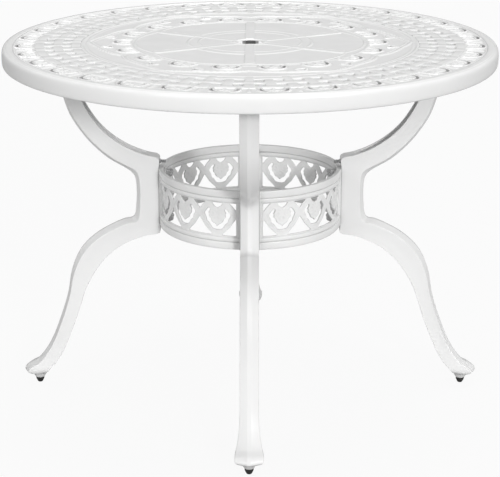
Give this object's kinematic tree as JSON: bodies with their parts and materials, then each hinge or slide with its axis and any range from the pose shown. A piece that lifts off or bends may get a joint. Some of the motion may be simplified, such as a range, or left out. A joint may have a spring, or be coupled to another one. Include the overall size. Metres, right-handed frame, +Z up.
{
  "type": "umbrella table",
  "caption": "Round cast patio table with an openwork top and umbrella hole, on curved legs tied by a ring of heart panels, with screw-in levelling glides.",
  "frame": {"origin": "on the floor, straight below the centre of the umbrella hole", "axes": "+Z up, +X towards the right leg, -Y towards the front leg"},
  "size_m": [1, 1, 0.745],
  "materials": {
    "powder_coat": "white powder coat over cast aluminium, semi-gloss",
    "dark_steel": "dark plated steel, satin",
    "black_plastic": "black moulded plastic, matt"
  },
  "bodies": {
    "frame": {"table_top": "powder_coat", "leg_right": "powder_coat", "leg_back": "powder_coat", "leg_left": "powder_coat", "leg_front": "powder_coat", "heart_panel_right_back": "powder_coat", "heart_panel_back_left": "powder_coat", "heart_panel_left_front": "powder_coat", "heart_panel_front_right": "powder_coat", "ring_stud_right": "dark_steel", "ring_stud_back": "dark_steel", "ring_stud_left": "dark_steel", "ring_stud_front": "dark_steel", "top_bolt_right_inner": "dark_steel", "top_bolt_right_outer": "dark_steel", "top_bolt_back_inner": "dark_steel", "top_bolt_back_outer": "dark_steel", "top_bolt_left_inner": "dark_steel", "top_bolt_left_outer": "dark_steel", "top_bolt_front_inner": "dark_steel", "top_bolt_front_outer": "dark_steel", "ring_bolt_upper_right_a": "dark_steel", "ring_bolt_upper_right_b": "dark_steel", "ring_bolt_lower_right_a": "dark_steel", "ring_bolt_lower_right_b": "dark_steel", "ring_bolt_upper_back_a": "dark_steel", "ring_bolt_upper_back_b": "dark_steel", "ring_bolt_lower_back_a": "dark_steel", "ring_bolt_lower_back_b": "dark_steel", "ring_bolt_upper_left_a": "dark_steel", "ring_bolt_upper_left_b": "dark_steel", "ring_bolt_lower_left_a": "dark_steel", "ring_bolt_lower_left_b": "dark_steel", "ring_bolt_upper_front_a": "dark_steel", "ring_bolt_upper_front_b": "dark_steel", "ring_bolt_lower_front_a": "dark_steel", "ring_bolt_lower_front_b": "dark_steel"},
    "glide_right_body": {"glide_right": "black_plastic"},
    "glide_back_body": {"glide_back": "black_plastic"},
    "glide_left_body": {"glide_left": "black_plastic"},
    "glide_front_body": {"glide_front": "black_plastic"}
  },
  "joints": [
    {"name": "level_right", "type": "slide", "parent": "frame", "child": "glide_right_body", "axis": [0, 0, -1], "range_m": [0, 0.01]},
    {"name": "level_back", "type": "slide", "parent": "frame", "child": "glide_back_body", "axis": [0, 0, -1], "range_m": [0, 0.01]},
    {"name": "level_left", "type": "slide", "parent": "frame", "child": "glide_left_body", "axis": [0, 0, -1], "range_m": [0, 0.01]},
    {"name": "level_front", "type": "slide", "parent": "frame", "child": "glide_front_body", "axis": [0, 0, -1], "range_m": [0, 0.01]}
  ]
}
